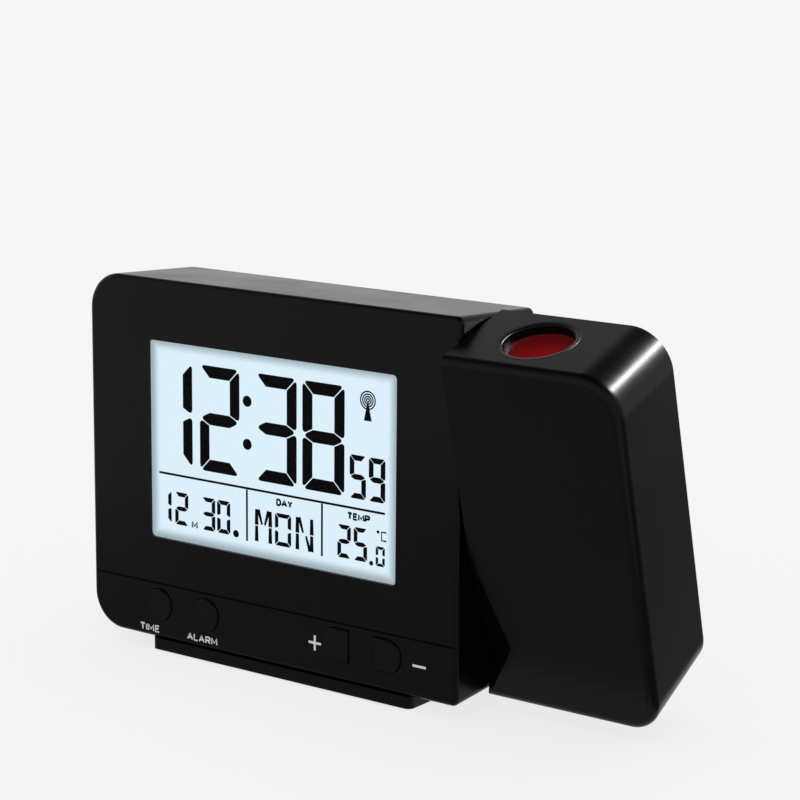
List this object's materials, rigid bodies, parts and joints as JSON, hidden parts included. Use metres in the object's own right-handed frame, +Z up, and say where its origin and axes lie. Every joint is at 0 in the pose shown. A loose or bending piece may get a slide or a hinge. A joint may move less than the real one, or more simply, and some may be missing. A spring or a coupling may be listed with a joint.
{
  "type": "projection alarm clock",
  "caption": "Slim upright digital alarm clock with a lit display, front keys, a foot, and a projector head that tilts on a side pivot.",
  "frame": {"origin": "middle of the sole's underside, on the table", "axes": "+X to the reader's right along the case, +Y from the display to the back, +Z up"},
  "size_m": [0.1392, 0.0398, 0.0828],
  "materials": {
    "black_case": "fine satin black",
    "black_key": "satin black",
    "rubber_sole": "matt rubber",
    "clear_window": "clear acrylic",
    "display_glass": "lit display",
    "light_guide": "clear acrylic",
    "white_frame": "white moulding",
    "rubber_contact": "striped rubber",
    "circuit_board": "solder mask",
    "switch_plastic": "moulded",
    "zinc_screw": "zinc plated",
    "cell_can": "plain wrap",
    "spring_steel": "nickel plated",
    "speaker_paper": "paper cone",
    "ferrite": "sintered",
    "copper_coil": "enamelled copper",
    "bush_plastic": "acetal",
    "black_barrel": "matt black",
    "lens_glass": "clear lens",
    "red_led": "red lens",
    "cable_jacket": "soft jacket"
  },
  "bodies": {
    "case": {"case_shell": "black_case", "button_panel": "black_case", "rear_cover": "black_case", "foot": "black_case", "sole": "rubber_sole", "lcd_window": "clear_window", "lcd_glass": "display_glass", "lcd_frame": "white_frame", "light_guide": "light_guide", "lcd_connector": "rubber_contact", "main_board": "circuit_board", "front_switches": "switch_plastic", "rear_switches": "switch_plastic", "temperature_sensor": "switch_plastic", "cable_socket": "white_frame", "board_screws": "zinc_screw", "battery_cells": "cell_can", "contact_plates": "spring_steel", "contact_springs": "spring_steel", "power_inlet": "switch_plastic", "power_pin": "spring_steel", "speaker": "speaker_paper", "aerial_rod": "ferrite", "aerial_coil": "copper_coil", "touch_plate": "copper_coil", "case_screws": "zinc_screw", "foot_screws": "zinc_screw", "pivot_bush": "bush_plastic"},
    "projector_head": {"pivot_hub": "bush_plastic", "hub_screws": "zinc_screw", "friction_washer": "spring_steel", "retaining_clip": "spring_steel", "head_shell": "black_case", "head_side_cover": "black_case", "head_screws": "zinc_screw", "lens_barrel": "black_barrel", "image_panel": "display_glass", "condenser_lens": "lens_glass", "led": "red_led", "led_board": "circuit_board", "head_cable": "cable_jacket"},
    "focus_ring": {"focus_ring": "black_barrel", "projection_lens": "lens_glass"},
    "battery_door": {"battery_door": "black_case"},
    "time_key": {"time_key": "black_key"},
    "alarm_key": {"alarm_key": "black_key"},
    "plus_key": {"plus_key": "black_key"},
    "minus_key": {"minus_key": "black_key"},
    "rear_key_lower": {"rear_key_lower": "black_key"},
    "rear_key_middle": {"rear_key_middle": "black_key"},
    "rear_key_upper": {"rear_key_upper": "black_key"}
  },
  "joints": [
    {"name": "time_key_press", "type": "slide", "parent": "case", "child": "time_key", "axis": [0, 1, 0], "range_m": [0, 0.0005], "stiffness_N_per_m": 1500},
    {"name": "alarm_key_press", "type": "slide", "parent": "case", "child": "alarm_key", "axis": [0, 1, 0], "range_m": [0, 0.0005], "stiffness_N_per_m": 1500},
    {"name": "plus_key_press", "type": "slide", "parent": "case", "child": "plus_key", "axis": [0, 1, 0], "range_m": [0, 0.0005], "stiffness_N_per_m": 1500},
    {"name": "minus_key_press", "type": "slide", "parent": "case", "child": "minus_key", "axis": [0, 1, 0], "range_m": [0, 0.0005], "stiffness_N_per_m": 1500},
    {"name": "rear_key_lower_press", "type": "slide", "parent": "case", "child": "rear_key_lower", "axis": [0, -1, 0], "range_m": [0, 0.0005], "stiffness_N_per_m": 1500},
    {"name": "rear_key_middle_press", "type": "slide", "parent": "case", "child": "rear_key_middle", "axis": [0, -1, 0], "range_m": [0, 0.0005], "stiffness_N_per_m": 1500},
    {"name": "rear_key_upper_press", "type": "slide", "parent": "case", "child": "rear_key_upper", "axis": [0, -1, 0], "range_m": [0, 0.0005], "stiffness_N_per_m": 1500},
    {"name": "battery_door_swing", "type": "hinge", "parent": "case", "child": "battery_door", "pos_m": [-0.015, 0.0128, 0.0247], "axis": [-1, 0, 0], "range_deg": [0, 70]},
    {"name": "projector_tilt", "type": "hinge", "parent": "case", "child": "projector_head", "pos_m": [0.04715, 0, 0.04615], "axis": [1, 0, 0], "range_deg": [-104.3, 75.7]},
    {"name": "focus_turn", "type": "hinge", "parent": "projector_head", "child": "focus_ring", "pos_m": [0.0624, -0.00116, 0.04585], "axis": [0, -0.247, 0.969], "range_deg": [-60, 60]}
  ]
}
